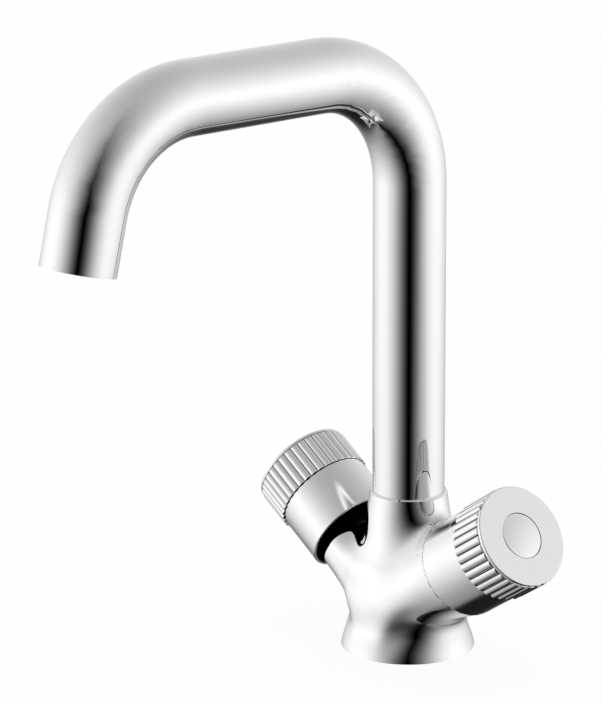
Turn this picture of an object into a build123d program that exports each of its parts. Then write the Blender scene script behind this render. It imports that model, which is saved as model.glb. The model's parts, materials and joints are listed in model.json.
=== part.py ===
from build123d import *

import os
from math import cos, radians, sin

# Basin mixer tap: a cast body with two tilted arms, a swivel spout and two fluted knobs.
# The origin is the centre of the base's underside. +Z is up and the spout points along -Y,
# towards the user. The hot arm leans to -X and the cold arm to +X. Sizes are millimetres.
# Profiles of turned pieces are points of (radius, distance along the turning axis).

# Clearances
running_gap = 0.06
seat_gap = 0.04
axial_play = 0.1
pass_gap = 0.3

# Body casting: foot, trunk and turret
base_radius = 26.1
base_edge = 0.8
flare_draft = 0.33
waist_radius = 22.6
waist_height = 14.0
chest_radius = 18.7
chest_height = 34.5
turret_radius = 15.1
turret_draft = 0.108
turret_height = 62.7
trunk_cast_height = 90.0
rim_rounding = 0.35

# Body casting: arms, as (distance along the arm, half breadth, height above, depth below)
arm_tilt = 57.0
arm_axis_height = 18.2
arm_sections = (
    (0.0, 19.8, 13.5, 16.0),
    (12.0, 20.4, 12.6, 16.2),
    (20.0, 20.3, 11.6, 15.2),
    (26.0, 19.7, 10.8, 13.9),
    (33.0, 19.0, 10.3, 12.4),
    (44.0, 18.6, 10.0, 11.6),
)
arm_top_squareness = 3.2
arm_section_points = 8
arm_length = 33.0
arm_trim_radius = 22.0
blend_radius = 4.5

# Underside: seal groove, water inlets and fixing stud
seal_groove_radius = 22.6
seal_width = 3.0
seal_height = 2.2
inlet_offset = 9.2
inlet_radius = 4.5
inlet_depth = 11.0
water_way_radius = 3.4
stud_offset = 14.5
stud_radius = 3.4
stud_depth = 12.0

# Valve headwork in the arm
valve_thread_radius = 8.3
valve_thread_length = 5.5
barrel_radius = 7.6
barrel_length = 12.0
seat_relief = 1.0
disc_bore_radius = 6.6
window_radius = 1.4
gasket_thickness = 1.0
gasket_radius = 9.9
valve_hexagon = 19.0
hexagon_height = 6.0
shoulder_radius = 7.5
shoulder_height = 10.0
neck_radius = 6.5
neck_spare = 2.5
port_radius = 2.2
port_offset = 5.0
port_depth = 6.5
port_slope = 39.0

# Ceramic discs and seat seal
seat_seal_height = 3.0
seat_seal_bore = 3.6
disc_thickness = 2.5
disc_gap = 0.05
disc_port_radius = 4.9
disc_port_web = 0.8
tang_width = 2.4
tang_length = 9.0
tang_depth = 0.9

# Spindle, its seals and its clip
spindle_radius = 4.0
paddle_width = 5.0
flange_thickness = 1.4
spindle_wire = 0.47
spindle_seal_offsets = (1.0, 6.0)
clip_thickness = 0.8
clip_radius = 5.6
clip_groove = 0.7
clip_mouth = 5.0
spline_teeth = 20
spline_depth = 0.35
spline_length = 8.3
tapped_depth = 9.0

# Shroud and its nut
shroud_radius = 19.2
shroud_wall = 1.3
shroud_setback = 4.0
shroud_length = 21.0
shroud_web = 2.0
shroud_edge = 0.4
nut_hexagon = 17.0
nut_height = 2.5

# Fluted grip
grip_height = 16.5
rib_count = 36
rib_radius = 1.9
rib_circle = 18.2
rib_root_radius = 19.0
rib_end_rounding = 1.2
face_band = 1.2
face_radius = 19.7
face_edge = 0.4
grip_bore_radius = 17.4
face_wall = 3.6
hub_radius = 9.6
hub_recess = 1.1

# Button, spline insert and screw in the grip
button_radius = 9.0
button_gap = 0.15
button_seat = 2.0
button_dome = 0.9
button_edge = 0.25
insert_radius = 7.0
insert_setback = 0.7
insert_length = 11.1
screw_radius = 2.0
screw_length = 11.0
screw_head_radius = 3.6
screw_head_height = 2.4
screw_key = 2.5
screw_key_depth = 1.4

# Spout tube
tube_radius = 14.0
tube_wall = 1.2
tube_bottom = 51.5
riser_top = 184.5
bend_radius = 46.5
level_run = 62.5
outlet_bend = 76.5
outlet_run = 20.5

# Swivel foot in the turret
foot_plug_height = 12.0
foot_flange = 1.5
foot_flange_radius = 13.9
foot_bore_radius = 6.5
shank_radius = 10.0
shank_end = 38.6
socket_bottom = 38.0
spout_wire = 1.2
spout_seal_places = (46.0, 42.6)
bearing_thickness = 2.0
lock_ring_start = 39.5
lock_ring_thickness = 1.2
lock_ring_depth = 0.9
lock_ring_mouth = 8.0

# Outlet and aerator, measured up into the tube from the outlet's cut
outlet_recess = 0.8
outlet_ring_height = 12.0
outlet_thread_radius = 11.5
washer_shelf = 2.5
washer_shelf_radius = 9.5
washer_thickness = 1.5
washer_bore_radius = 8.0
aerator_height = 8.0
aerator_wall = 1.3
aerator_lip = 1.0
aerator_mouth_radius = 9.4
notch_width = 4.0
notch_depth = 0.7
cell_width = 2.2
cell_wall = 0.55
grid_depth = 2.6
strainer_bore_radius = 8.6

# Places that follow from the sizes above, those in an arm as distances along it
barrel_end = arm_length - valve_thread_length
barrel_bottom = barrel_end - barrel_length
valve_seat = barrel_bottom - seat_relief
seat_branch = inlet_offset / sin(radians(arm_tilt))
spindle_seal_places = [arm_length + offset for offset in spindle_seal_offsets]
shroud_start = arm_length + shroud_setback
shroud_end = shroud_start + shroud_length
hexagon_start = arm_length + gasket_thickness
hexagon_end = hexagon_start + hexagon_height
web_start = hexagon_end + shoulder_height
nut_start = web_start + shroud_web
neck_end = nut_start + nut_height + neck_spare
fixed_disc_start = valve_seat + seat_seal_height
turning_disc_start = fixed_disc_start + disc_thickness + disc_gap
paddle_start = turning_disc_start + disc_thickness
flange_end = barrel_end - pass_gap
clip_start = neck_end + axial_play
spline_start = clip_start + clip_thickness + pass_gap
spindle_end = spline_start + spline_length
insert_start = spline_start + insert_setback
insert_end = insert_start + insert_length
hub_start = insert_start + hub_recess
grip_start = shroud_end + pass_gap
grip_end = grip_start + grip_height
button_floor = grip_end - button_seat
flange_bottom = tube_bottom - foot_flange
bearing_bottom = flange_bottom - axial_play - bearing_thickness
tube_bore_radius = tube_radius - tube_wall

up = Vector(0, 0, 1)
arm_root = Vector(0, 0, arm_axis_height)
sides = {"hot": -1, "cold": 1}

os.makedirs("parts", exist_ok=True)


def axial_plane(origin, along, across):
    """A sketch plane that holds a turning axis: X is the radius and Y runs along the axis."""
    return Plane(origin=origin, x_dir=across, z_dir=across.cross(along))


def arm_direction(sign):
    return Vector(sign * sin(radians(arm_tilt)), 0, cos(radians(arm_tilt)))


def arm_axis(sign):
    return Axis(arm_root, arm_direction(sign))


def arm_axial(sign):
    return axial_plane(arm_root, arm_direction(sign), Vector(0, 1, 0))


def arm_section(sign, distance):
    """A sketch plane square to an arm, at a distance along its axis."""
    along = arm_direction(sign)
    return Plane(origin=arm_root + along * distance, x_dir=(0, 1, 0), z_dir=along)


def arm_outline(half_breadth, above, below):
    """An arm's section: an ellipse underneath and a squarer curve on top, in one closed spline."""
    points = []
    for index in range(4 * arm_section_points):
        angle = radians(index * 90 / arm_section_points)
        squareness = arm_top_squareness if sin(angle) > 0 else 2
        across = abs(cos(angle)) ** (2 / squareness) * (1 if cos(angle) > 0 else -1)
        rise = abs(sin(angle)) ** (2 / squareness)
        points.append((half_breadth * across, above * rise if sin(angle) > 0 else -below * rise))
    Spline(*points, periodic=True)


def ring(inner, outer, start, end):
    """The outline of a plain ring."""
    return [(inner, start), (outer, start), (outer, end), (inner, end)]


def turned(profile, plane, axis):
    """A solid turned from one closed outline."""
    with BuildPart() as piece:
        with BuildSketch(plane):
            with BuildLine():
                Polyline(*profile, close=True)
            make_face()
        revolve(axis=axis)
    return piece


def rings_of_wire(wire, radius, places, plane, axis):
    """O-rings: round wire of one radius, turned at each place along the axis."""
    with BuildPart() as piece:
        for place in places:
            with BuildSketch(plane):
                with Locations((radius, place)):
                    Circle(wire)
            revolve(axis=axis)
    return piece


def finish(piece, node):
    piece.part.label = node
    export_step(piece.part, "parts/" + node + ".step")


# Body casting


def trunk_profile():
    """Foot, flare, trunk and turret in one smooth line, cast taller than the turret."""
    top_radius = turret_radius - (trunk_cast_height - turret_height) * turret_draft
    foot = Line((0, 0), (base_radius, 0))
    edge = Line(foot @ 1, (base_radius, base_edge))
    wall = Spline(
        edge @ 1,
        (waist_radius, waist_height),
        (chest_radius, chest_height),
        (top_radius, trunk_cast_height),
        tangents=((-flare_draft, 1), (-turret_draft, 1)),
    )
    top = Line(wall @ 1, (0, trunk_cast_height))
    Line(top @ 1, foot @ 0)


with BuildPart() as body_casting:
    with BuildSketch(Plane.YZ):
        with BuildLine():
            trunk_profile()
        make_face()
    revolve(axis=Axis.Z)
    for sign in sides.values():
        for distance, half_breadth, above, below in arm_sections:
            with BuildSketch(arm_section(sign, distance)):
                with BuildLine():
                    arm_outline(half_breadth, above, below)
                make_face()
        loft()

    # Where the arms leave the trunk: the two closed free-form edges nearest the middle
    free_form = body_casting.edges().filter_by(GeomType.BSPLINE).filter_by(lambda edge: edge.is_closed)
    fillet(free_form.sort_by(lambda edge: abs(edge.center().X))[:2], blend_radius)

    # Face the turret and the ends of the arms
    with BuildSketch(Plane.XY.offset(turret_height)):
        Circle(base_radius)
    extrude(amount=trunk_cast_height - turret_height, mode=Mode.SUBTRACT)
    for sign in sides.values():
        with BuildSketch(arm_section(sign, arm_length)):
            Circle(arm_trim_radius)
        extrude(amount=arm_trim_radius, mode=Mode.SUBTRACT)

    # Spout socket: wide for the tube, then narrow for the shank, with the locking groove
    with BuildSketch(Plane.XZ):
        with BuildLine():
            wide = tube_radius + running_gap
            narrow = shank_radius + running_gap
            groove = shank_radius + lock_ring_depth + running_gap
            groove_bottom = lock_ring_start - axial_play
            groove_top = lock_ring_start + lock_ring_thickness + axial_play
            Polyline(
                (0, turret_height),
                (wide, turret_height),
                (wide, bearing_bottom),
                (narrow, bearing_bottom),
                (narrow, groove_top),
                (groove, groove_top),
                (groove, groove_bottom),
                (narrow, groove_bottom),
                (narrow, socket_bottom),
                (0, socket_bottom),
                close=True,
            )
        make_face()
    revolve(axis=Axis.Z, mode=Mode.SUBTRACT)
    chamfer(
        body_casting.edges().filter_by(GeomType.CIRCLE).group_by(Axis.Z)[-1].sort_by(SortBy.RADIUS)[-1],
        rim_rounding,
    )

    for sign in sides.values():
        # Valve chamber and the seat hole under it
        with BuildSketch(arm_section(sign, valve_seat)):
            Circle(valve_thread_radius + seat_gap)
        extrude(amount=arm_length - valve_seat, mode=Mode.SUBTRACT)
        seat_centre = arm_root + arm_direction(sign) * seat_branch
        with BuildSketch(Plane(origin=seat_centre, x_dir=(0, 1, 0), z_dir=arm_direction(sign))):
            Circle(water_way_radius)
        extrude(amount=valve_seat - seat_branch, mode=Mode.SUBTRACT)

        # Inlet thread and water way up to the seat hole
        with BuildSketch(Plane.XY):
            with Locations((sign * inlet_offset, 0)):
                Circle(inlet_radius)
        extrude(amount=inlet_depth, mode=Mode.SUBTRACT)
        with BuildSketch(Plane.XY):
            with Locations((sign * inlet_offset, 0)):
                Circle(water_way_radius)
        extrude(amount=seat_centre.Z, mode=Mode.SUBTRACT)

        # Port from the valve chamber to the spout socket
        slope = Vector(sign * cos(radians(port_slope)), 0, -sin(radians(port_slope)))
        port_start = Vector(sign * port_offset, 0, socket_bottom)
        with BuildSketch(Plane(origin=port_start, x_dir=(0, 1, 0), z_dir=slope)):
            Circle(port_radius)
        extrude(amount=port_depth, mode=Mode.SUBTRACT)

    # Stud hole and seal groove in the underside
    with BuildSketch(Plane.XY):
        with Locations((0, stud_offset)):
            Circle(stud_radius)
    extrude(amount=stud_depth, mode=Mode.SUBTRACT)
    with BuildSketch(Plane.XY):
        Circle(seal_groove_radius + seal_width / 2)
        Circle(seal_groove_radius - seal_width / 2, mode=Mode.SUBTRACT)
    extrude(amount=seal_height, mode=Mode.SUBTRACT)
finish(body_casting, "body_casting")

base_seal = turned(
    ring(
        seal_groove_radius - seal_width / 2 + seat_gap,
        seal_groove_radius + seal_width / 2 - seat_gap,
        0,
        seal_height,
    ),
    Plane.XZ,
    Axis.Z,
)
finish(base_seal, "base_seal")


# Valve headworks


def valve_housing(sign):
    """Brass headwork: barrel, thread, hexagon, shoulder for the shroud and neck for its nut."""
    with BuildPart() as piece:
        with BuildSketch(arm_axial(sign)):
            with BuildLine():
                Polyline(
                    (0, barrel_bottom),
                    (barrel_radius, barrel_bottom),
                    (barrel_radius, barrel_end),
                    (valve_thread_radius, barrel_end),
                    (valve_thread_radius, hexagon_end),
                    (shoulder_radius, hexagon_end),
                    (shoulder_radius, web_start),
                    (neck_radius, web_start),
                    (neck_radius, neck_end),
                    (0, neck_end),
                    close=True,
                )
            make_face()
        revolve(axis=arm_axis(sign))
        with BuildSketch(arm_section(sign, hexagon_start)):
            RegularPolygon(valve_hexagon / 2, 6, major_radius=False)
        extrude(amount=hexagon_height)
        with BuildSketch(arm_section(sign, barrel_bottom)):
            Circle(disc_bore_radius)
        extrude(amount=barrel_end - barrel_bottom, mode=Mode.SUBTRACT)
        with BuildSketch(arm_section(sign, barrel_end)):
            Circle(spindle_radius + running_gap)
        extrude(amount=neck_end - barrel_end, mode=Mode.SUBTRACT)
        window_centre = arm_root + arm_direction(sign) * (paddle_start + window_radius)
        with BuildSketch(Plane(origin=window_centre, x_dir=arm_direction(sign), z_dir=(0, 1, 0))):
            Circle(window_radius)
        extrude(amount=valve_thread_radius, both=True, mode=Mode.SUBTRACT)
    return piece


def half_moon(side):
    """The water port of a disc, on one side of its middle."""
    Circle(disc_port_radius)
    with Locations((side * disc_port_web, 0)):
        Rectangle(
            2 * disc_port_radius,
            2 * disc_port_radius,
            align=(Align.MAX if side > 0 else Align.MIN, Align.CENTER),
            mode=Mode.SUBTRACT,
        )


def fixed_disc(sign):
    with BuildPart() as piece:
        with BuildSketch(arm_section(sign, fixed_disc_start)):
            Circle(disc_bore_radius - seat_gap)
        extrude(amount=disc_thickness)
        with BuildSketch(arm_section(sign, fixed_disc_start)):
            half_moon(1)
        extrude(amount=disc_thickness, mode=Mode.SUBTRACT)
    return piece


def rotating_disc(sign):
    """The driven disc: its port lies opposite the fixed one at rest, so the valve is shut."""
    with BuildPart() as piece:
        with BuildSketch(arm_section(sign, turning_disc_start)):
            Circle(disc_bore_radius - running_gap)
        extrude(amount=disc_thickness)
        with BuildSketch(arm_section(sign, turning_disc_start)):
            half_moon(-1)
        extrude(amount=disc_thickness, mode=Mode.SUBTRACT)
        with BuildSketch(arm_section(sign, paddle_start)):
            Rectangle(tang_width + 2 * seat_gap, tang_length + 2 * seat_gap)
        extrude(amount=-tang_depth, mode=Mode.SUBTRACT)
    return piece


def serration(tip_radius, root_radius):
    """The toothed outline of a splined spindle end, also used for its socket."""
    step = 180 / spline_teeth
    points = []
    for index in range(2 * spline_teeth):
        radius = tip_radius if index % 2 == 0 else root_radius
        points.append((radius * cos(radians(index * step)), radius * sin(radians(index * step))))
    Polygon(*points, align=None)


def spindle(sign):
    """Tang and paddle that drive the disc, flange, sealed shaft and splined end."""
    groove_radius = spindle_radius - 2 * spindle_wire
    groove_half = spindle_wire + axial_play
    shaft = [(0, flange_end - flange_thickness)]
    shaft.append((disc_bore_radius - axial_play, flange_end - flange_thickness))
    shaft.append((disc_bore_radius - axial_play, flange_end))
    shaft.append((spindle_radius, flange_end))
    for place in spindle_seal_places:
        shaft.append((spindle_radius, place - groove_half))
        shaft.append((groove_radius, place - groove_half))
        shaft.append((groove_radius, place + groove_half))
        shaft.append((spindle_radius, place + groove_half))
    shaft.append((spindle_radius, clip_start))
    shaft.append((spindle_radius - clip_groove, clip_start))
    shaft.append((spindle_radius - clip_groove, clip_start + clip_thickness))
    shaft.append((spindle_radius - spline_depth, clip_start + clip_thickness))
    shaft.append((spindle_radius - spline_depth, spindle_end))
    shaft.append((0, spindle_end))
    with BuildPart() as piece:
        with BuildSketch(arm_axial(sign)):
            with BuildLine():
                Polyline(*shaft, close=True)
            make_face()
        revolve(axis=arm_axis(sign))
        with BuildSketch(arm_section(sign, paddle_start)):
            Circle(disc_bore_radius - axial_play)
            Rectangle(paddle_width, 2 * disc_bore_radius, mode=Mode.INTERSECT)
        extrude(amount=flange_end - paddle_start)
        with BuildSketch(arm_section(sign, paddle_start)):
            Rectangle(tang_width, tang_length)
        extrude(amount=-tang_depth + axial_play)
        with BuildSketch(arm_section(sign, spline_start)):
            serration(spindle_radius, spindle_radius - spline_depth)
        extrude(amount=spline_length)
        with BuildSketch(arm_section(sign, spindle_end)):
            Circle(screw_radius + seat_gap)
        extrude(amount=-tapped_depth, mode=Mode.SUBTRACT)
    return piece


def open_ring(plane, inner, outer, mouth, thickness):
    """A flat clip: a ring with a mouth cut through one side."""
    with BuildPart() as piece:
        with BuildSketch(plane):
            Circle(outer)
            Circle(inner, mode=Mode.SUBTRACT)
            with Locations((outer / 2, 0)):
                Rectangle(outer, mouth, mode=Mode.SUBTRACT)
        extrude(amount=thickness)
    return piece


def spindle_clip(sign):
    plane = arm_section(sign, clip_start)
    inner = spindle_radius - clip_groove + seat_gap
    return open_ring(plane, inner, clip_radius, clip_mouth, clip_thickness)


# Shroud, nut and knob


def valve_shroud(sign):
    """Smooth skirt with an inner web that the nut clamps to the headwork. Its rear is open."""
    inner = shroud_radius - shroud_wall
    with BuildPart() as piece:
        with BuildSketch(arm_axial(sign)):
            with BuildLine():
                Polyline(
                    (inner, shroud_start),
                    (shroud_radius, shroud_start),
                    (shroud_radius, shroud_end),
                    (inner, shroud_end),
                    (inner, web_start + shroud_web),
                    (neck_radius + seat_gap, web_start + shroud_web),
                    (neck_radius + seat_gap, web_start),
                    (inner, web_start),
                    close=True,
                )
            make_face()
        revolve(axis=arm_axis(sign))
        rear = piece.edges().filter_by(GeomType.CIRCLE).group_by(Axis(arm_root, arm_direction(sign)))[0]
        fillet(rear, shroud_edge)
    return piece


def shroud_nut(sign):
    with BuildPart() as piece:
        with BuildSketch(arm_section(sign, nut_start)):
            RegularPolygon(nut_hexagon / 2, 6, major_radius=False)
            Circle(neck_radius + seat_gap, mode=Mode.SUBTRACT)
        extrude(amount=nut_height)
    return piece


def rib_envelope():
    """The ribs' reach: straight, then rounded down behind the plain band at the face."""
    crest = rib_circle + rib_radius + seat_gap
    band_start = grip_end - face_band
    straight = Line((crest, grip_start), (crest, band_start - rib_end_rounding))
    end = RadiusArc(straight @ 1, (crest - rib_end_rounding, band_start), -rib_end_rounding)
    Polyline(end @ 1, (0, band_start), (0, grip_start), straight @ 0)


def grip(sign):
    """Ribbed shell with a flat face, a seat for the button and a hub for the insert."""
    band_start = grip_end - face_band
    with BuildPart() as piece:
        with BuildSketch(arm_section(sign, grip_start)):
            Circle(rib_root_radius)
            with PolarLocations(rib_circle, rib_count):
                Circle(rib_radius)
        extrude(amount=band_start - grip_start)
        with BuildSketch(arm_axial(sign)):
            with BuildLine():
                rib_envelope()
            make_face()
        revolve(axis=arm_axis(sign), mode=Mode.INTERSECT)
        with BuildSketch(arm_section(sign, band_start)):
            Circle(face_radius)
        extrude(amount=face_band)
        face_rim = piece.edges().filter_by(GeomType.CIRCLE).group_by(Axis(arm_root, arm_direction(sign)))[-1]
        fillet(face_rim, face_edge)
        with BuildSketch(arm_section(sign, grip_start)):
            Circle(grip_bore_radius)
            Circle(hub_radius, mode=Mode.SUBTRACT)
        extrude(amount=grip_end - face_wall - grip_start, mode=Mode.SUBTRACT)
        with BuildSketch(arm_section(sign, grip_start)):
            Circle(hub_radius)
        extrude(amount=hub_start - grip_start, mode=Mode.SUBTRACT)
        with BuildSketch(arm_section(sign, hub_start)):
            Circle(insert_radius + seat_gap)
        extrude(amount=insert_end - hub_start, mode=Mode.SUBTRACT)
        with BuildSketch(arm_section(sign, insert_end)):
            Circle(screw_head_radius + pass_gap)
        extrude(amount=grip_end - insert_end, mode=Mode.SUBTRACT)
        with BuildSketch(arm_section(sign, button_floor)):
            Circle(button_radius + button_gap)
        extrude(amount=button_seat, mode=Mode.SUBTRACT)
    return piece


def index_button(sign):
    """A low dome, level with the face at its edge."""
    rim = grip_end - button_edge
    half_width = button_radius - button_edge
    dome_radius = (half_width**2 + button_dome**2) / (2 * button_dome)
    with BuildPart() as piece:
        with BuildSketch(arm_axial(sign)):
            with BuildLine():
                dome = RadiusArc((half_width, grip_end), (0, grip_end + button_dome), -dome_radius)
                Polyline(dome @ 1, (0, button_floor), (button_radius, button_floor))
                Polyline((button_radius, button_floor), (button_radius, rim), dome @ 0)
            make_face()
        revolve(axis=arm_axis(sign))
    return piece


def spline_insert(sign):
    with BuildPart() as piece:
        with BuildSketch(arm_section(sign, insert_start)):
            Circle(insert_radius)
            Circle(screw_radius + pass_gap, mode=Mode.SUBTRACT)
        extrude(amount=insert_end - insert_start)
        with BuildSketch(arm_section(sign, insert_start)):
            serration(spindle_radius + seat_gap, spindle_radius - spline_depth + seat_gap)
        extrude(amount=spindle_end + pass_gap - insert_start, mode=Mode.SUBTRACT)
    return piece


def knob_screw(sign):
    with BuildPart() as piece:
        with BuildSketch(arm_section(sign, insert_end)):
            Circle(screw_radius)
        extrude(amount=-screw_length)
        with BuildSketch(arm_section(sign, insert_end)):
            Circle(screw_head_radius)
        extrude(amount=screw_head_height)
        with BuildSketch(arm_section(sign, insert_end + screw_head_height)):
            RegularPolygon(screw_key / 2, 6, major_radius=False)
        extrude(amount=-screw_key_depth, mode=Mode.SUBTRACT)
    return piece


for side, sign in sides.items():
    plane = arm_axial(sign)
    axis = arm_axis(sign)
    seat_ring = ring(seat_seal_bore, disc_bore_radius - seat_gap, valve_seat, fixed_disc_start)
    gasket_ring = ring(valve_thread_radius + seat_gap, gasket_radius, arm_length, hexagon_start)
    wire_circle = spindle_radius - spindle_wire + running_gap / 3
    finish(valve_housing(sign), side + "_valve_housing")
    finish(fixed_disc(sign), side + "_fixed_disc")
    finish(turned(seat_ring, plane, axis), side + "_seat_seal")
    finish(turned(gasket_ring, plane, axis), side + "_housing_gasket")
    finish(valve_shroud(sign), side + "_valve_shroud")
    finish(shroud_nut(sign), side + "_shroud_nut")
    finish(rotating_disc(sign), side + "_rotating_disc")
    finish(spindle(sign), side + "_spindle")
    spindle_seals = rings_of_wire(spindle_wire, wire_circle, spindle_seal_places, plane, axis)
    finish(spindle_seals, side + "_spindle_seals")
    finish(spindle_clip(sign), side + "_spindle_clip")
    finish(grip(sign), side + "_grip")
    finish(index_button(sign), side + "_index_button")
    finish(spline_insert(sign), side + "_spline_insert")
    finish(knob_screw(sign), side + "_knob_screw")


# Spout

with BuildPart() as spout_tube:
    with BuildLine(Plane.YZ) as route:
        riser = Line((0, tube_bottom), (0, riser_top))
        first_bend = JernArc(riser @ 1, riser % 1, bend_radius, 90)
        run = Line(first_bend @ 1, first_bend @ 1 + (first_bend % 1) * level_run)
        second_bend = JernArc(run @ 1, run % 1, bend_radius, outlet_bend)
        Line(second_bend @ 1, second_bend @ 1 + (second_bend % 1) * outlet_run)
    with BuildSketch(Plane.XY.offset(tube_bottom)):
        Circle(tube_radius)
        Circle(tube_bore_radius, mode=Mode.SUBTRACT)
    sweep(path=route.wires()[0])
finish(spout_tube, "spout_tube")
outlet_centre = route.wires()[0] @ 1
inward = (route.wires()[0] % 1) * -1

shank_groove = shank_radius - 2 * spout_wire
shank_groove_half = spout_wire + axial_play
shank = [(foot_bore_radius, shank_end), (shank_radius, shank_end)]
lock_floor = shank_radius - lock_ring_depth
lock_top = lock_ring_start + lock_ring_thickness
shank.append((shank_radius, lock_ring_start))
shank.append((lock_floor, lock_ring_start))
shank.append((lock_floor, lock_top))
shank.append((shank_radius, lock_top))
for place in sorted(spout_seal_places):
    shank.append((shank_radius, place - shank_groove_half))
    shank.append((shank_groove, place - shank_groove_half))
    shank.append((shank_groove, place + shank_groove_half))
    shank.append((shank_radius, place + shank_groove_half))
shank.append((shank_radius, flange_bottom))
shank.append((foot_flange_radius, flange_bottom))
shank.append((foot_flange_radius, tube_bottom))
shank.append((tube_bore_radius - seat_gap, tube_bottom))
shank.append((tube_bore_radius - seat_gap, tube_bottom + foot_plug_height))
shank.append((foot_bore_radius, tube_bottom + foot_plug_height))
finish(turned(shank, Plane.XZ, Axis.Z), "spout_foot")

spout_wire_circle = shank_radius - spout_wire + running_gap / 3
spout_seals = rings_of_wire(spout_wire, spout_wire_circle, spout_seal_places, Plane.XZ, Axis.Z)
finish(spout_seals, "spout_seals")

lock_outer = shank_radius + lock_ring_depth
lock_plane = Plane.XY.offset(lock_ring_start)
lock_ring = open_ring(lock_plane, lock_floor + seat_gap, lock_outer, lock_ring_mouth, lock_ring_thickness)
finish(lock_ring, "spout_locking_ring")

bearing = ring(
    shank_radius + pass_gap, foot_flange_radius, bearing_bottom, bearing_bottom + bearing_thickness
)
finish(turned(bearing, Plane.XZ, Axis.Z), "spout_bearing")

# Outlet ring and aerator, on the outlet's own axis
outlet_axial = axial_plane(outlet_centre, inward, Vector(1, 0, 0))
outlet_axis = Axis(outlet_centre, inward)


def outlet_section(depth):
    return Plane(origin=outlet_centre + inward * depth, x_dir=(1, 0, 0), z_dir=inward)


ring_end = outlet_recess + outlet_ring_height
shelf_start = ring_end - washer_shelf
washer_start = shelf_start - washer_thickness
aerator_start = washer_start - aerator_height
aerator_outer = outlet_thread_radius - seat_gap
aerator_bore = aerator_outer - aerator_wall
strainer_start = aerator_start + aerator_lip

outlet_ring = turned(
    [
        (outlet_thread_radius, outlet_recess),
        (tube_bore_radius - seat_gap, outlet_recess),
        (tube_bore_radius - seat_gap, ring_end),
        (washer_shelf_radius, ring_end),
        (washer_shelf_radius, shelf_start),
        (outlet_thread_radius, shelf_start),
    ],
    outlet_axial,
    outlet_axis,
)
finish(outlet_ring, "outlet_ring")

aerator_washer = turned(
    ring(washer_bore_radius, aerator_outer, washer_start, shelf_start), outlet_axial, outlet_axis
)
finish(aerator_washer, "aerator_washer")

with BuildPart() as aerator_housing:
    with BuildSketch(outlet_axial):
        with BuildLine():
            Polyline(
                (aerator_mouth_radius, aerator_start),
                (aerator_outer, aerator_start),
                (aerator_outer, washer_start),
                (aerator_bore, washer_start),
                (aerator_bore, strainer_start),
                (aerator_mouth_radius, strainer_start),
                close=True,
            )
        make_face()
    revolve(axis=outlet_axis)
    with BuildSketch(outlet_section(aerator_start)):
        Rectangle(3 * aerator_outer, notch_width)
        Circle(aerator_mouth_radius - axial_play, mode=Mode.SUBTRACT)
    extrude(amount=notch_depth, mode=Mode.SUBTRACT)
finish(aerator_housing, "aerator_housing")

with BuildPart() as aerator_insert:
    with BuildSketch(outlet_section(strainer_start)):
        Circle(aerator_bore - seat_gap)
    extrude(amount=washer_start - strainer_start)
    with BuildSketch(outlet_section(strainer_start + grid_depth)):
        Circle(strainer_bore_radius)
    extrude(amount=washer_start - strainer_start - grid_depth, mode=Mode.SUBTRACT)
    with BuildSketch(outlet_section(strainer_start)):
        with HexLocations((cell_width + cell_wall) / 2, 7, 7, major_radius=False):
            RegularPolygon(cell_width / 2, 6, major_radius=False)
        Circle(strainer_bore_radius, mode=Mode.INTERSECT)
    extrude(amount=grid_depth, mode=Mode.SUBTRACT)
finish(aerator_insert, "aerator_insert")
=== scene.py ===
# %% [markdown]
# # A chrome basin mixer tap
# The tap is a cast body with two tilted arms, a swivelling tube spout and two fluted knobs.
# Its solids were drawn in a CAD program and come in as a fixed frame, in metres, so a new
# piece goes where the solid says it is. This lesson gives them their finishes, blows up a
# smooth skin for the casting, and builds a studio for the chrome to reflect.

# %% Load the frame
import bmesh
import bpy
import json
import numpy as np
from math import cos, pi, radians, sin
from mathutils import Matrix, Vector

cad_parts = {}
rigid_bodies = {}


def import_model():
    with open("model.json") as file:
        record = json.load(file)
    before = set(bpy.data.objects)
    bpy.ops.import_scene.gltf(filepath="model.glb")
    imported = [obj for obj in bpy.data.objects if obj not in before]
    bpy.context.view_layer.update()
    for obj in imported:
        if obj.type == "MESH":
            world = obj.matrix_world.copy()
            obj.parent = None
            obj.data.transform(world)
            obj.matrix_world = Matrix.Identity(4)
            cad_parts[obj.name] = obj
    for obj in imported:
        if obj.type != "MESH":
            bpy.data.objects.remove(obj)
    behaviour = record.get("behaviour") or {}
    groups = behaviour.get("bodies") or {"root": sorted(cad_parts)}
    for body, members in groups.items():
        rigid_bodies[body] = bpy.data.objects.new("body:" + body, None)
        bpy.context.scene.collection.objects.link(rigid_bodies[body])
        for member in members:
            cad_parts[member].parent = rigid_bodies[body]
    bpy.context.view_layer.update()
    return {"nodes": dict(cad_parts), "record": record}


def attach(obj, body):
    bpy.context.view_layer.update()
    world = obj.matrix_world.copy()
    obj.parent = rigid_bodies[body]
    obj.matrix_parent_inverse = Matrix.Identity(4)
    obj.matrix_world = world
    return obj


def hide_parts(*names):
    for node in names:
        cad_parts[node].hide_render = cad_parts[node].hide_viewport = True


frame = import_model()
nodes = frame["nodes"]
MM = 0.001

# %% [markdown]
# ## Colours and nodes
# Colours are written as the hex values that a paint card or a screen would give. Blender
# shades with linear light, so one function turns a hex value into linear numbers. A second
# small function adds a shader node with its settings and its links. Everything below is
# made with these two, so each material reads as a short list of what feeds what.

# %% Two helpers
# A Mix node has its own sockets for each kind of value: two inputs and a result.
COLOUR_A, COLOUR_B, COLOUR_OUT = 6, 7, 2
FLOAT_A, FLOAT_B, FLOAT_OUT = 2, 3, 0


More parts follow.
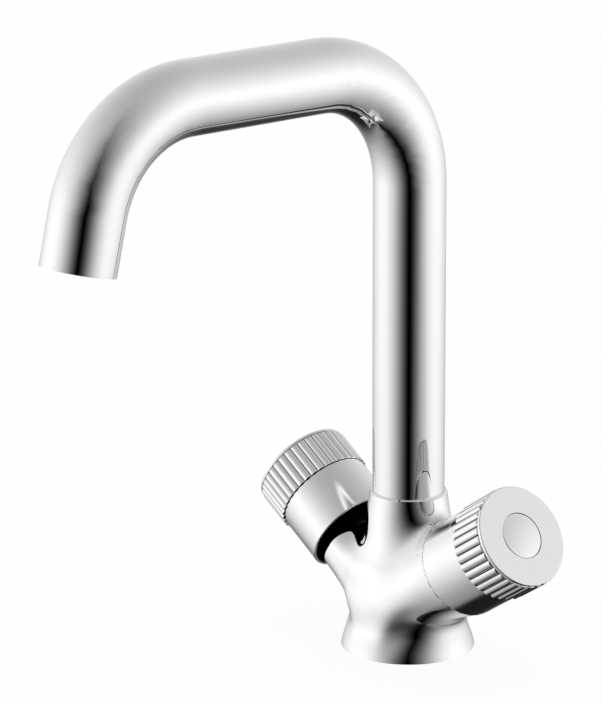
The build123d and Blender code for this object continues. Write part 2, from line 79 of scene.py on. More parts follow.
def linear(hex_colour):
    """An sRGB hex colour as the linear RGBA that shaders work in."""
    channels = [int(hex_colour[i:i + 2], 16) / 255 for i in (1, 3, 5)]
    straight = [c / 12.92 if c <= 0.04045 else ((c + 0.055) / 1.055) ** 2.4 for c in channels]
    return tuple(straight) + (1.0,)


def add_node(tree, kind, settings=None, links=None):
    """Adds one node. settings go to its properties or sockets, links to its input sockets."""
    node = tree.nodes.new("ShaderNode" + kind)
    for name, value in (settings or {}).items():
        if isinstance(name, int) or name in node.inputs:
            node.inputs[name].default_value = value
        else:
            setattr(node, name, value)
    for name, source in (links or {}).items():
        tree.links.new(source, node.inputs[name])
    return node


print("mid grey in linear light:", [round(c, 3) for c in linear("#808080")])

# %% [markdown]
# ## A finish from two noises
# Every finish here is built the same way, because real surfaces vary at two sizes. A slow
# noise shifts the colour between two near tones and makes some patches duller than others,
# as handling and polishing do. A finer noise drives a bump, with its grain in millimetres.
# The shader's own sockets hold what is the same all over, such as metallic.

# %% One finish
def surface(name, tones, rough, haze_mm, grain_mm, bump_mm, metallic=0.0, ior=1.5):
    """A material: two tones, a roughness range, the size of the haze and a bump of fine grain."""
    material = bpy.data.materials.new(name)
    material.use_nodes = True
    tree = material.node_tree
    shader = tree.nodes["Principled BSDF"]
    shader.inputs["Metallic"].default_value = metallic
    if metallic == 0:
        shader.inputs["IOR"].default_value = ior
    place = add_node(tree, "TexCoord").outputs["Object"]
    haze_scale, grain_scale = 1 / (haze_mm * MM), 1 / (grain_mm * MM)
    haze = add_node(tree, "TexNoise", {"Scale": haze_scale, "Detail": 3.0}, {"Vector": place})
    haze = haze.outputs["Fac"]
    two_tones = {"data_type": "RGBA", COLOUR_A: linear(tones[0]), COLOUR_B: linear(tones[1])}
    tint = add_node(tree, "Mix", two_tones, {0: haze})
    dull = add_node(tree, "MapRange", {"To Min": rough[0], "To Max": rough[1]}, {"Value": haze})
    grain = add_node(tree, "TexNoise", {"Scale": grain_scale, "Detail": 2.0}, {"Vector": place})
    relief = {"Strength": 0.3, "Distance": bump_mm * MM}
    bump = add_node(tree, "Bump", relief, {"Height": grain.outputs["Fac"]})
    tree.links.new(tint.outputs[COLOUR_OUT], shader.inputs["Base Color"])
    tree.links.new(dull.outputs["Result"], shader.inputs["Roughness"])
    tree.links.new(bump.outputs["Normal"], shader.inputs["Normal"])
    return material


def metal(name, tones, rough, haze_mm, grain_mm, bump_mm):
    """The same finish on a metal."""
    return surface(name, tones, rough, haze_mm, grain_mm, bump_mm, metallic=1.0)


print("a finish needs tones, roughness, haze, grain and bump")

# %% [markdown]
# ## Chrome plate
# Bright chrome is a thin plate of nickel and chromium on polished brass. It is a mirror, so
# its look is what it reflects, with the faint ripple that a buffing wheel leaves under the
# plate. Three finishes differ only in how they were made: the hand-buffed casting has the
# strongest ripple, the drawn tube is the straightest, and turned pieces lie between. The
# ripple is a few thousandths of a millimetre high over one or two centimetres.

# %% Three chromes
turned_look = (("#F0F1F3", "#F5F5F6"), (0.025, 0.05), 8, 18, 0.004)
casting_chrome = metal("chrome_on_cast_brass", ("#F0F1F2", "#F5F6F7"), (0.03, 0.06), 9, 16, 0.006)
tube_chrome = metal("chrome_on_drawn_tube", ("#F2F3F4", "#F6F6F7"), (0.02, 0.04), 12, 26, 0.004)
turned_chrome = metal("chrome_on_turned_brass", *turned_look)
print("chrome finishes:", casting_chrome.name, tube_chrome.name, turned_chrome.name)

# %% [markdown]
# ## Painted shade in the recesses
# A mirror is dark where it faces into a recess, since it shows only the shade inside. Here that
# darkness is painted: inside the deep skirt of a shroud a near-black tone paints its shade, and
# in the narrow flutes of a knob a dark tone paints the shade between the ribs. Both are told
# apart by how far a point lies from the knob's axis. The two axes mirror each other, so taking
# x without its sign serves both sides with one material.

# %% Painted shade in recesses
ARM_TILT = radians(57)
ARM_ROOT = 18.2  # height of the point where both arm axes start
FACE_FROM = 73.6  # how far along the axis the flutes end and a knob's face begins
PAST_ALL = 90  # beyond the end of every piece


def chrome_with_painted_shade(name, tone, from_mm, to_mm, rough, reach_mm):
    """Chrome outside a radius from the knob's axis, fading inside it to a dark tone that paints
    shade.
    Beyond reach_mm along the axis all of the piece is plain chrome."""
    material = metal(name, *turned_look)
    tree = material.node_tree
    shader = tree.nodes["Principled BSDF"]

    def calculate(operation, first, second=None, third=None):
        """A Math node. Each operand is a number or the output of another node."""
        numbers, links = {"operation": operation}, {}
        for socket, operand in enumerate((first, second, third)):
            if operand is not None:
                (numbers if isinstance(operand, float) else links)[socket] = operand
        return add_node(tree, "Math", numbers, links).outputs[0]

    place = add_node(tree, "TexCoord").outputs["Object"]
    parts = add_node(tree, "SeparateXYZ", links={"Vector": place})
    across = calculate("ABSOLUTE", parts.outputs["X"])
    height = calculate("SUBTRACT", parts.outputs["Z"], ARM_ROOT * MM)
    sideways = calculate("MULTIPLY", across, -cos(ARM_TILT))
    rise = calculate("MULTIPLY_ADD", height, sin(ARM_TILT), sideways)
    flat = add_node(tree, "CombineXYZ", links={"X": rise, "Y": parts.outputs["Y"]})
    radius = add_node(tree, "VectorMath", {"operation": "LENGTH"}, {0: flat.outputs[0]})
    fade = {"From Min": from_mm * MM, "From Max": to_mm * MM}
    outside = add_node(tree, "MapRange", fade, {"Value": radius.outputs["Value"]})
    outwards = calculate("MULTIPLY", across, sin(ARM_TILT))
    along = calculate("MULTIPLY_ADD", height, cos(ARM_TILT), outwards)
    beyond = calculate("GREATER_THAN", along, reach_mm * MM)
    # This mask is 1 where the chrome shows and 0 where a dark tone paints the shade of the recess.
    clear_of_shade = calculate("MAXIMUM", outside.outputs["Result"], beyond)
    # Where the mask is 0, the colour is the dark tone of the painted shade and the roughness rises.
    for socket, kind, dull_value, dull, bright, result in (
        ("Base Color", "RGBA", linear(tone), COLOUR_A, COLOUR_B, COLOUR_OUT),
        ("Roughness", "FLOAT", rough, FLOAT_A, FLOAT_B, FLOAT_OUT),
    ):
        source = shader.inputs[socket].links[0].from_socket
        settings = {"data_type": kind, dull: dull_value}
        mixed = add_node(tree, "Mix", settings, {0: clear_of_shade, bright: source})
        tree.links.new(mixed.outputs[result], shader.inputs[socket])
    return material


# Inside each shroud's skirt a near-black tone paints the shade of the gap round the arm.
skirt_chrome = chrome_with_painted_shade("chrome_painted_shade_inside_skirt", "#080807", 18.2, 18.6, 0.6, PAST_ALL)
# In the flutes a dark tone paints the shade between the ribs: near black on the cold knob, grey on
# the hot one.
cold_flutes = chrome_with_painted_shade("chrome_painted_shade_in_cold_flutes", "#050505", 19.35, 19.6, 0.35, FACE_FROM)
hot_flutes = chrome_with_painted_shade("chrome_painted_shade_in_hot_flutes", "#8E9092", 19.2, 19.5, 0.2, FACE_FROM)
print("shade_painted finishes:", skirt_chrome.name, cold_flutes.name, hot_flutes.name)

# %% [markdown]
# ## Brass, steel and ceramic
# The working parts are hidden once the tap is built, but show where it is opened and in the
# shadow behind the hot shroud. The headworks are turned brass, painted near black as the shade
# in the gap behind the hot shroud. Nuts and the swivel foot are brighter brass. The clip and the
# screws are stainless steel, and the valve discs are lapped alumina, which is hard, white and almost
# polished.

# %% Working metals and ceramic
# The headworks' brass is painted near black, as the shade in the gap behind the hot shroud.
shade_black_brass = metal("turned_brass_painted_black_as_shade", ("#070706", "#0A0908"), (0.6, 0.7), 3, 1.5, 0.004)
turned_brass = metal("turned_brass", ("#B8954F", "#C9A765"), (0.25, 0.35), 4, 0.5, 0.01)
stainless_steel = metal("drawn_stainless_steel", ("#B9BABB", "#C9CACA"), (0.22, 0.32), 3, 0.4, 0.008)
alumina = surface("lapped_alumina", ("#EDEBE4", "#F4F2EC"), (0.12, 0.2), 3, 0.3, 0.002, ior=1.76)
print("metals and ceramic:", shade_black_brass.name, turned_brass.name, stainless_steel.name, alumina.name)

# %% [markdown]
# ## Plastics, rubber and fibre
# Bearings, the locking ring and the knobs' splined inserts are moulded in white acetal, a
# slippery plastic with a soft shine. The aerator's insert is grey acetal. Seals are black
# rubber with the dull bloom of moulded rings, and the gasket under each headwork is pressed
# fibre, rough and reddish brown.

# %% Plastics, rubber and fibre
soft_looks = {
    "moulded_white_acetal": (("#E6E6E1", "#EFEFEA"), (0.32, 0.42), 5, 0.5, 0.004, 0.0, 1.48),
    "moulded_grey_acetal": (("#9A9C9E", "#A8AAAC"), (0.35, 0.45), 4, 0.5, 0.004, 0.0, 1.48),
    "moulded_seal_rubber": (("#151515", "#1F1F1E"), (0.6, 0.75), 3, 0.4, 0.01, 0.0, 1.52),
    "pressed_fibre": (("#4A2A1E", "#5E3828"), (0.75, 0.9), 1.5, 0.25, 0.03, 0.0, 1.5),
}
soft = {name: surface(name, *look) for name, look in soft_looks.items()}
print("soft finishes:", *soft)

# %% [markdown]
# ## Give the solids their finish
# Each solid names a material slot, as a parts list would. One table turns slots into
# finishes. The hot valve housing is the one brass piece that shows, in the gap behind its
# shroud, so both housings get the brass painted near black as shade instead of the bright one.

# %% Give the solids their finish
finishes = {
    "chromed_casting": casting_chrome,
    "chromed_shroud": skirt_chrome,
    "chromed_grip": cold_flutes,
    "chromed_button": turned_chrome,
    "chromed_tube": tube_chrome,
    "chromed_ring": turned_chrome,
    "brass": turned_brass,
    "stainless_steel": stainless_steel,
    "alumina_ceramic": alumina,
    "white_plastic": soft["moulded_white_acetal"],
    "grey_plastic": soft["moulded_grey_acetal"],
    "seal_rubber": soft["moulded_seal_rubber"],
    "fibre_gasket": soft["pressed_fibre"],
}
own_finishes = {
    "hot_grip": hot_flutes,
    # Both valve housings take the near-black brass that paints shade.
    "hot_valve_housing": shade_black_brass,
    "cold_valve_housing": shade_black_brass,
}
slots = {row["node"]: row["material_slot"] for row in frame["record"]["subparts"]}
for node_name, solid in nodes.items():
    finish = own_finishes.get(node_name, finishes[slots[node_name]])
    solid.data.materials.clear()
    solid.data.materials.append(finish)
print("solids finished:", len(nodes), "in", len(finishes), "slots")

# %% [markdown]
# ## Close the seams of the turned pieces
# A surface that closes on itself, such as a tube, arrives with a seam where its start meets
# its end. Each side of the seam has normals of its own, and in chrome that shows as a step
# in the reflection. Three modifiers mend it and leave the solid's mesh as it is: one welds
# the seam, one opens the true edges again, and one works out the normals from the faces.

# %% Close the seams
SEAM_WIDTH = 0.001 * MM
TRUE_EDGE = radians(24)

for node_name, solid in nodes.items():
    if slots[node_name].startswith("chromed") and node_name != "body_casting":
        solid.modifiers.new("weld seam", "WELD").merge_threshold = SEAM_WIDTH
        solid.modifiers.new("open edges", "EDGE_SPLIT").split_angle = TRUE_EDGE
        solid.modifiers.new("even normals", "WEIGHTED_NORMAL").keep_sharp = True
print("seams closed on:", sum(bool(solid.modifiers) for solid in nodes.values()), "solids")

# %% [markdown]
# ## The cast body
# On the real tap this is one brass casting. Its trunk flares to the basin and narrows to a
# turret for the spout, and two broad arms carry the valves. A founder blends them into each
# other with wide, soft fillets, and the polishing wheel softens them further, so there is no
# line where one form ends. A mesh could be smoothed until it looks so, but bright chrome
# shows every dent of that. Here each form is a formula that says how far a point lies
# outside it. Where two forms come close their distances are blended, and the skin is where
# the result is zero. The fillet is wide at the front and at the turret and tight under the
# arms, and between foot and turret the trunk is a little longer along the arms than across.
#
# The two arms differ here. In the photograph the hot one ends behind a dark gap and the cold
# one seems to run on into its shroud, so the cold arm is drawn 4.6 mm longer than its solid.

# %% Sections of the two arms
HOT, COLD = -1, 1  # the side of x on which each arm lies
# Each row: distance along the arm, half breadth, height above and depth below its axis.
hot_arm = np.array([
    (0, 19.0, 14.2, 12.0),
    (12, 19.0, 13.0, 12.4),
    (20, 19.0, 11.8, 12.6),
    (26, 18.9, 10.9, 12.6),
    (33, 18.6, 10.2, 12.4),
])
cold_arm = np.array([
    (0, 19.4, 14.4, 14.0),
    (12, 19.6, 14.8, 15.0),
    (20, 19.8, 15.6, 16.0),
    (28, 19.6, 16.8, 17.2),
    (37.6, 19.35, 19.35, 19.35),
])


def arm_curves(table):
    """Smooth curves through the sections, so that no facet shows along the arm."""
    curves = [np.polyfit(table[:, 0], table[:, i], 4) for i in (1, 2, 3)]
    return {"end": table[-1, 0], "curves": curves}


arms = {HOT: arm_curves(hot_arm), COLD: arm_curves(cold_arm)}
print("arm lengths:", arms[HOT]["end"], "and", arms[COLD]["end"], "mm")

# %% [markdown]
# ## Measures of the forms
# The other sizes of the casting are named in one place, in millimetres. They were set by
# comparing outline and reflections with the photograph.

# %% Measures of the forms
TURRET_RADIUS, TURRET_HEIGHT, TURRET_DRAFT = 15.1, 62.7, 0.108
FLARE_WIDTH, FLARE_HEIGHT, FLARE_CURVE = 4.2, 18.5, 1.3
# How square the hot arm's sections are above and below the axis. Two is an ellipse.
HOT_ABOVE, HOT_BELOW, ROUND = 3.0, 2.3, 2.0
END_ROUNDING = {HOT: 3.0, COLD: 0.05}
TYPICAL_HEIGHT = 14  # turns a section's ratio into millimetres
ROOT_DEPTH, ROOT_ROUNDING = 10, 8.0
LONGER_ALONG, SHORTER_ACROSS = 0.10, 0.13
# Widths of the fillet: front and back of the trunk, under each arm, at the turret, and
# between the two arms.
SIDE_FILLET, COLD_FILLET, HOT_FILLET, TURRET_FILLET, CROTCH_FILLET = 10, 6, 4, 13, 13.0
print("fillets from", HOT_FILLET, "to", TURRET_FILLET, "mm wide")

# %% [markdown]
# ## The forms as distances
# Trunk and arms each get a function, and the body blends them. The width of the fillet
# changes smoothly with height and with the direction in which a point lies.

# %% The forms as distances
def blended_least(a, b, reach):
    """The lesser of two distances, rounded where they come within reach of each other."""
    near = np.maximum(reach - np.abs(a - b), 0) / reach
    return np.minimum(a, b) - near**3 * reach / 6


def eased(value, start, end):
    """0 before start, 1 after end and a smooth change between them."""
    share = np.clip((value - start) / (end - start), 0, 1)
    return share**2 * (3 - 2 * share)


def trunk_radius(z):
    """Foot, flare and turret: the turret's drafted line plus a flare that dies out upwards."""
    flare = FLARE_WIDTH * np.exp(-((np.maximum(z, 0) / FLARE_HEIGHT) ** FLARE_CURVE))
    return TURRET_RADIUS + TURRET_DRAFT * (TURRET_HEIGHT - z) + flare


def arm_distance(points, side):
    """One arm: a broad section with a rounded root. The hot one is squarer on top, and its
    end is rounded. The cold one turns round and ends flush with its shroud."""
    x, y, z = points.T
    along = side * x * sin(ARM_TILT) + (z - ARM_ROOT) * cos(ARM_TILT)
    rise = -side * x * cos(ARM_TILT) + (z - ARM_ROOT) * sin(ARM_TILT)
    end = arms[side]["end"]
    place = np.clip(along, 0, end)
    breadth, above, below = (np.polyval(curve, place) for curve in arms[side]["curves"])
    power = np.where(rise > 0, HOT_ABOVE, HOT_BELOW) if side == HOT else ROUND
    sideways = np.abs(y / breadth) ** power
    upwards = np.abs(rise / np.where(rise > 0, above, below)) ** power
    ratio = (sideways + upwards) ** (1 / power)
    ended = -blended_least(-(ratio - 1) * TYPICAL_HEIGHT, end - along, END_ROUNDING[side])
    return -blended_least(-ended, along + ROOT_DEPTH, ROOT_ROUNDING)


def body_distance(points):
    """How far points, in millimetres, lie outside the casting's skin."""
    x, y, z = points.T
    oval = eased(z, 1, 17) * (1 - eased(z, 24, 36))
    stretched = np.hypot(x / (1 + LONGER_ALONG * oval), y / (1 - SHORTER_ACROSS * oval))
    trunk = stretched - trunk_radius(z)
    toward_cold = x / np.maximum(np.hypot(x, y), 0.001)
    fillet = SIDE_FILLET - (SIDE_FILLET - COLD_FILLET) * eased(toward_cold, 0.3, 0.95)
    fillet += (TURRET_FILLET - fillet) * eased(z, 8, 24)
    fillet += (HOT_FILLET - fillet) * eased(-toward_cold, 0.5, 0.85) * (1 - eased(z, 28, 42))
    both_arms = blended_least(arm_distance(points, HOT), arm_distance(points, COLD), CROTCH_FILLET)
    return blended_least(trunk, both_arms, fillet)


heights = np.array([0.0, 14.0, TURRET_HEIGHT])
print("trunk radii at", heights, "mm:", trunk_radius(heights).round(2))

# %% [markdown]
# ## From formula to mesh
# Seen from the point where the two arm axes meet, the casting hides none of its own skin.
# So a ball of small triangles round that point can be blown up like a balloon: each vertex
# runs out along its own ray until the distance is zero. Long edges are then split and the
# new vertices sent out again, until none is much longer than a millimetre.

# %% Blow up the skin
NEAREST, FARTHEST = 6.0, 90.0  # the skin lies between these distances from the centre
HALVINGS = 32
CUT_AWAY_FROM = 70  # above this height the skin is cut away, so it may stay coarse


def settle(skin):
    """Moves each vertex along its ray from the arms' crossing onto the skin, by halving steps."""
    centre = np.array((0, 0, ARM_ROOT))
    rays = np.array([vertex.co for vertex in skin.verts]) - centre
    rays /= np.linalg.norm(rays, axis=1)[:, None]
    low, high = np.full(len(rays), NEAREST), np.full(len(rays), FARTHEST)
    for _ in range(HALVINGS):
        middle = (low + high) / 2
        inside = body_distance(centre + rays * middle[:, None]) < 0
        low, high = np.where(inside, middle, low), np.where(inside, high, middle)
    for vertex, point in zip(skin.verts, centre + rays * low[:, None]):
        vertex.co = point


skin = bmesh.new()
bmesh.ops.create_icosphere(skin, subdivisions=7, radius=10)
bmesh.ops.translate(skin, verts=skin.verts, vec=(0, 0, ARM_ROOT))
settle(skin)
for longest in (1.6, 1.3):
    long_edges = [
        edge for edge in skin.edges
        if edge.calc_length() > longest and edge.verts[0].co.z < CUT_AWAY_FROM
    ]
    bmesh.ops.subdivide_edges(skin, edges=long_edges, cuts=1)
    bmesh.ops.triangulate(skin, faces=[face for face in skin.faces if len(face.verts) > 3])
    settle(skin)
print("skin triangles:", len(skin.faces))

# %% [markdown]
# ## Machining the casting
# After casting, the body is faced and bored on a lathe. Here each cut is a turned block: an
# outline of radius and height is spun round its axis, and a Boolean modifier takes it away.
# One cut faces the turret, breaks its rim and bores the spout's socket. One faces the
# underside and turns the seal's groove. The others bore the valve chambers, the inlets and
# the stud's hole. The cold chamber has a wider mouth for the headwork, and leaves a lip a
# tenth of a millimetre thick over the rim of its shroud. It hides the gap, but its edge
# still draws a hairline.

# %% Spin a cutting block
def spun_block(name, outline, placing, steps=180):
    """A closed block, spun from an outline of (radius, height) points round its own Z axis."""
    block = bmesh.new()
    rings = []
    for radius, height in outline:
        turns = [2 * pi * step / steps for step in range(steps if radius else 1)]
        rings.append([block.verts.new((radius * cos(t), radius * sin(t), height)) for t in turns])
    for here, there in zip(rings, rings[1:] + rings[:1]):
        if len(here) + len(there) == 2:
            continue
        for step in range(steps):
            after = (step + 1) % steps
            places = ((here, step), (here, after), (there, after), (there, step))
            corners = [ring[index % len(ring)] for ring, index in places]
            block.faces.new(list(dict.fromkeys(corners)))
    bmesh.ops.recalc_face_normals(block, faces=block.faces)
    mesh = bpy.data.meshes.new(name)
    block.to_mesh(mesh)
    block.free()
    piece = bpy.data.objects.new(name, mesh)
    bpy.context.scene.collection.objects.link(piece)
    piece.matrix_world = Matrix.Diagonal((MM, MM, MM, 1)) @ placing
    return piece


FAR = 60  # well outside the casting
turret_cut = [
    (0, 38), (10.06, 38), (10.06, 47.9), (14.06, 47.9), (14.06, 62.7),
    (14.75, 62.7), (16.5, 60.95), (FAR, 60.95), (FAR, 140), (0, 140),
]
base_cut = [(0, -90), (FAR, -90), (FAR, 0), (24.1, 0), (24.1, 2.2), (21.1, 2.2), (21.1, 0), (0, 0)]
seat, bore = 14.5, 8.34
chambers = {
    HOT: [(0, seat), (bore, seat), (bore, FAR), (0, FAR)],
    COLD: [
        (0, seat), (bore, seat), (bore, 33), (11.6, 33),
        (11.6, 36.95), (19.22, 36.95), (19.22, FAR), (0, FAR),
    ],
}
inlet = [(0, -20), (4.5, -20), (4.5, 11), (0, 11)]
stud = [(0, -20), (3.4, -20), (3.4, 12), (0, 12)]
INLET_OFFSET, STUD_OFFSET, SMALL_BORE_STEPS = 9.2, 14.5, 64
cuts = [spun_block("turret_cut", turret_cut, Matrix()), spun_block("base_cut", base_cut, Matrix())]
for side in (HOT, COLD):
    lean = Matrix.Translation((0, 0, ARM_ROOT)) @ Matrix.Rotation(side * ARM_TILT, 4, "Y")
    cuts.append(spun_block("chamber_cut", chambers[side], lean))
    beside = Matrix.Translation((side * INLET_OFFSET, 0, 0))
    cuts.append(spun_block("inlet_cut", inlet, beside, SMALL_BORE_STEPS))
cuts.append(spun_block("stud_cut", stud, Matrix.Translation((0, STUD_OFFSET, 0)), SMALL_BORE_STEPS))
print("cutting blocks:", [cut.name for cut in cuts])

# %% [markdown]
# ## Cut the casting
# The blown-up skin takes all the cuts as modifiers, and the result becomes a plain mesh.
# Then the blocks can go.

# %% Cut the casting
rough_mesh = bpy.data.meshes.new("rough_casting")
skin.to_mesh(rough_mesh)
skin.free()
rough = bpy.data.objects.new("rough_casting", rough_mesh)
bpy.context.scene.collection.objects.link(rough)
rough.matrix_world = Matrix.Diagonal((MM, MM, MM, 1))
for cut in cuts:
    boolean = rough.modifiers.new(cut.name, "BOOLEAN")
    boolean.operation, boolean.object, boolean.solver = "DIFFERENCE", cut, "MANIFOLD"
bpy.context.view_layer.update()
evaluated = rough.evaluated_get(bpy.context.evaluated_depsgraph_get())
cut_mesh = bpy.data.meshes.new_from_object(evaluated)
for helper in [rough] + cuts:
    bpy.data.objects.remove(helper)
print("machined casting:", len(cut_mesh.polygons), "faces")

# %% [markdown]
# ## Exact normals
# A flat triangle reflects as a flat mirror, and even smooth shading guesses its normals
# from the triangles round it. The formula knows better: the way the distance grows is the
# true normal. So the corners of all faces that lie on the cast skin get it, and the faces
# that the lathe cut keep Blender's own, with sharp edges where they meet at an angle. A face
# too small to have a reliable direction of its own counts as skin if it lies on it.

# %% Which faces are skin
def slope_of(points):
    """The unit normals of the skin, from how the distance changes along each axis."""
    slope = np.zeros_like(points)
    for axis, step in enumerate(np.eye(3) * 0.02):
        slope[:, axis] = body_distance(points + step) - body_distance(points - step)
    return slope / np.linalg.norm(slope, axis=1)[:, None]


SHARP = radians(25)
ON_SKIN = 0.15  # millimetres from the formula's zero
SLIVER = 0.02  # square millimetres
FACES_ALIKE, SLIVER_ALIKE = 0.85, -0.2  # cosines between a face and the true normal

machined = bmesh.new()
machined.from_mesh(cut_mesh)
bmesh.ops.dissolve_degenerate(machined, edges=machined.edges, dist=0.002)
for edge in machined.edges:
    edge.smooth = not (len(edge.link_faces) == 2 and edge.calc_face_angle() > SHARP)
for face in machined.faces:
    face.smooth = True
centres = np.array([face.calc_center_median() for face in machined.faces])
facing = np.array([face.normal for face in machined.faces])
slivers = np.array([face.calc_area() for face in machined.faces]) < SLIVER
agreement = (slope_of(centres) * facing).sum(axis=1)
alike = (agreement > FACES_ALIKE) | (slivers & (agreement > SLIVER_ALIKE))
on_skin = (np.abs(body_distance(centres)) < ON_SKIN) & alike
print("skin faces:", int(on_skin.sum()), "of", len(on_skin))

# %% [markdown]
# ## Normals of the skin and the lip
# The edge of the cold arm's lip is the one exception: it takes the normals of the arm's
# side. That makes its hairline a little fainter, though it doesn't remove it.

# %% Normals of the skin and the lip
LIP_DEPTH, LIP_INSIDE = 0.15, 19.2

places = np.array([vertex.co for vertex in machined.verts])
true_normals = slope_of(places)
cold_axis = np.array((sin(ARM_TILT), 0, cos(ARM_TILT)))
outward = places - (0, 0, ARM_ROOT)
reach = outward @ cold_axis
outward -= reach[:, None] * cold_axis
from_axis = np.linalg.norm(outward, axis=1)
at_lip = (reach > arms[COLD]["end"] - LIP_DEPTH) & (from_axis > LIP_INSIDE)
true_normals[at_lip] = outward[at_lip] / from_axis[at_lip][:, None]
machined.verts.index_update()
corner_normals = []
for face, is_skin in zip(machined.faces, on_skin):
    exact = is_skin or all(at_lip[vertex.index] for vertex in face.verts)
    for vertex in face.verts:
        corner_normals.append(tuple(true_normals[vertex.index]) if exact else (0, 0, 0))
print("lip vertices:", int(at_lip.sum()))

# %% [markdown]
# ## The finished body
# The body goes from millimetres to metres, gets its chrome, and takes the place of the plain
# solid on the same moving part of the frame.

# %% The finished body
bmesh.ops.scale(machined, vec=(MM, MM, MM), verts=machined.verts)
cast_mesh = bpy.data.meshes.new("cast_body")
machined.to_mesh(cast_mesh)
machined.free()
cast_mesh.normals_split_custom_set(corner_normals)
cast_mesh.materials.append(casting_chrome)
cast_body = bpy.data.objects.new("cast_body", cast_mesh)
bpy.context.scene.collection.objects.link(cast_body)
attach(cast_body, "base")
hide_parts("body_casting")
print("cast body:", len(cast_mesh.polygons), "faces")

# %% [markdown]
# ## The studio
# Chrome has no colour of its own, so the room round it draws the picture. A product studio
# for metal is a tent of white cloth with a dark gap where the camera looks in. The world
# stands in for that tent. Its grey depends on how far a ray turns away from the camera's
# side: black at the gap, near white at right angles, a soft grey behind. One sine draws it.

# %% The tent's walls
camera_side = Vector((0.733, -0.680, 0.0)).normalized()
# Where the walls are brightest, from the camera's side (0) to behind the tap (1).
BRIGHTEST = 0.73

world = bpy.data.worlds.new("studio")
bpy.context.scene.world = world
world.use_nodes = True
air = world.node_tree
air.nodes.clear()
direction = add_node(air, "TexCoord").outputs["Generated"]
ray = add_node(air, "SeparateXYZ", links={"Vector": direction})
flat = add_node(air, "CombineXYZ", links={"X": ray.outputs["X"], "Y": ray.outputs["Y"]})
level = add_node(air, "VectorMath", {"operation": "NORMALIZE"}, {0: flat.outputs["Vector"]})
facing_it = {"operation": "DOT_PRODUCT", 1: camera_side}
toward = add_node(air, "VectorMath", facing_it, {0: level.outputs["Vector"]})
away = {"From Min": 1.0, "From Max": -1.0}
half = add_node(air, "MapRange", away, {"Value": toward.outputs["Value"]})
turn = add_node(air, "Math", {"operation": "SQRT"}, {0: half.outputs["Result"]})
quarter_wave = {"operation": "MULTIPLY", 1: pi / 2 / BRIGHTEST}
wave = add_node(air, "Math", quarter_wave, {0: turn.outputs["Value"]})
walls = add_node(air, "Math", {"operation": "SINE"}, {0: wave.outputs["Value"]})
print("studio walls: straight behind the tap their grey is", round(sin(pi / 2 / BRIGHTEST), 2))

# %% [markdown]
# ## Ceiling, table and light
# The walls fade to a ceiling grey above and to a dark table below, which comes up highest
# straight behind the tap. Only glossy rays see this tent. All other rays get an even white,
# which lights plastics and rubber at a plain level.

# %% Ceiling, table and light
CEILING_GREY, CEILING_CURVE = (0.66, 0.66, 0.66, 1), 1.3
TABLE_GREY, TABLE_CURVE = (0.13, 0.13, 0.13, 1), 1.8
# How fast a ray falls to the table: at the sides, how much faster behind the tap, and how
# narrow that part is.
FALL, FALL_BEHIND, BEHIND_CURVE = 0.75, 0.95, 20.0
SOFT_LIMIT = 0.5
DISPLAY_GAMMA = 2.2
TENT_STRENGTH, PLAIN_STRENGTH = 1.15, 1.0
WHITE = (1, 1, 1, 1)


def air_math(operation, numbers, source):
    """A Math node of the world with one linked input."""
    return add_node(air, "Math", {"operation": operation, **numbers}, {0: source}).outputs["Value"]


def faded(share, grey, source):
    """The source fading to a grey."""
    links = {0: share, COLOUR_A: source}
    return add_node(air, "Mix", {"data_type": "RGBA", COLOUR_B: grey}, links).outputs[COLOUR_OUT]


rise = air_math("MAXIMUM", {1: 0.0}, ray.outputs["Z"])
above = faded(air_math("POWER", {1: CEILING_CURVE}, rise), CEILING_GREY, walls.outputs["Value"])
down = {"From Min": 0.0, "From Max": -1.0}
fall = add_node(air, "MapRange", down, {"Value": ray.outputs["Z"]}).outputs["Result"]
behind = air_math("POWER", {1: BEHIND_CURVE}, turn.outputs["Value"])
depth = air_math("MULTIPLY_ADD", {1: FALL_BEHIND, 2: FALL}, behind)
deeper = add_node(air, "Math", {"operation": "MULTIPLY"}, {0: fall, 1: depth}).outputs["Value"]
sunk = air_math("SMOOTH_MIN", {1: 1.0, 2: SOFT_LIMIT}, deeper)
around = faded(air_math("POWER", {1: TABLE_CURVE}, sunk), TABLE_GREY, above)
glow = add_node(air, "Gamma", {"Gamma": DISPLAY_GAMMA}, {"Color": around}).outputs["Color"]
reflected = add_node(air, "Background", {"Strength": TENT_STRENGTH}, {"Color": glow})
plain = add_node(air, "Background", {"Color": WHITE, "Strength": PLAIN_STRENGTH})
seen_by = add_node(air, "LightPath").outputs["Is Glossy Ray"]
choice = add_node(air, "MixShader", links={0: seen_by, 1: plain.outputs[0], 2: reflected.outputs[0]})
add_node(air, "OutputWorld", links={"Surface": choice.outputs[0]})
# The plain white must not be sampled as a lamp, or it would be added to the chrome as well.
world.cycles.sampling_method = "NONE"
print("studio nodes:", len(air.nodes))

# %% [markdown]
# ## The table
# The tap stands on a plain white table. The background of the picture is white, and that
# comes from the table's own material and not from more light: a camera ray sees mostly an
# even white, with enough of the lit surface mixed in to keep the tap's soft shadow.

# %% The table
HALF_TABLE = 4
EVEN_SHARE = 0.92

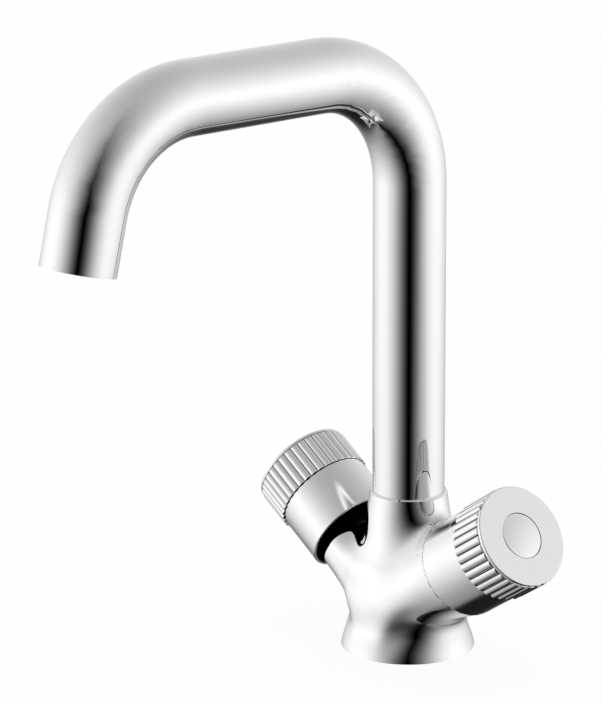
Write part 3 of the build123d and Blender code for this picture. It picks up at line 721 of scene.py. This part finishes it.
mesh = bpy.data.meshes.new("table")
corners = [(x * HALF_TABLE, y * HALF_TABLE, 0) for x, y in ((-1, -1), (1, -1), (1, 1), (-1, 1))]
mesh.from_pydata(corners, [], [(0, 1, 2, 3)])
floor = bpy.data.objects.new("table", mesh)
bpy.context.scene.collection.objects.link(floor)
white_table = surface("matt_white_table", ("#FAFAFA", "#FFFFFF"), (0.8, 0.9), 60, 2, 0.01)
tree = white_table.node_tree
lit = tree.nodes["Principled BSDF"]
even = add_node(tree, "Emission", {"Color": WHITE, "Strength": 1.0})
camera_ray = add_node(tree, "LightPath").outputs["Is Camera Ray"]
seen = add_node(tree, "Math", {"operation": "MULTIPLY", 1: EVEN_SHARE}, {0: camera_ray})
both = add_node(tree, "MixShader", links={0: seen.outputs[0], 1: lit.outputs[0], 2: even.outputs[0]})
tree.links.new(both.outputs[0], tree.nodes["Material Output"].inputs["Surface"])
mesh.materials.append(white_table)
floor.visible_glossy = False
print("table:", round(floor.dimensions.x, 1), "m square")

# %% [markdown]
# ## The camera
# The picture was taken from the front right, a little above the tap, with a long lens that
# hardly narrows the far side. The place and the turns below were found by matching edges
# whose size is known: the base, the turret, the tube's bends and the knobs' faces.

# %% The camera
SENSOR = 36
FOCAL_PIXELS, PICTURE_HEIGHT = 3617.4, 703

eye = bpy.data.cameras.new("eye")
eye.sensor_width = SENSOR
eye.lens = FOCAL_PIXELS / PICTURE_HEIGHT * SENSOR
eye.clip_start, eye.clip_end = 0.05, 20
camera = bpy.data.objects.new("eye", eye)
bpy.context.scene.collection.objects.link(camera)
heading = Matrix.Rotation(radians(48.89), 4, "Z")
pitch = Matrix.Rotation(radians(74.973), 4, "X")
roll = Matrix.Rotation(radians(-0.204), 4, "Z")
standing = Matrix.Translation((0.98264, -0.91248, 0.47791))
camera.matrix_world = standing @ (heading @ pitch @ roll)
bpy.context.scene.camera = camera
bpy.context.scene.view_settings.view_transform = "Standard"
print("lens:", round(eye.lens, 1), "mm, distance", round(camera.location.length, 2), "m")
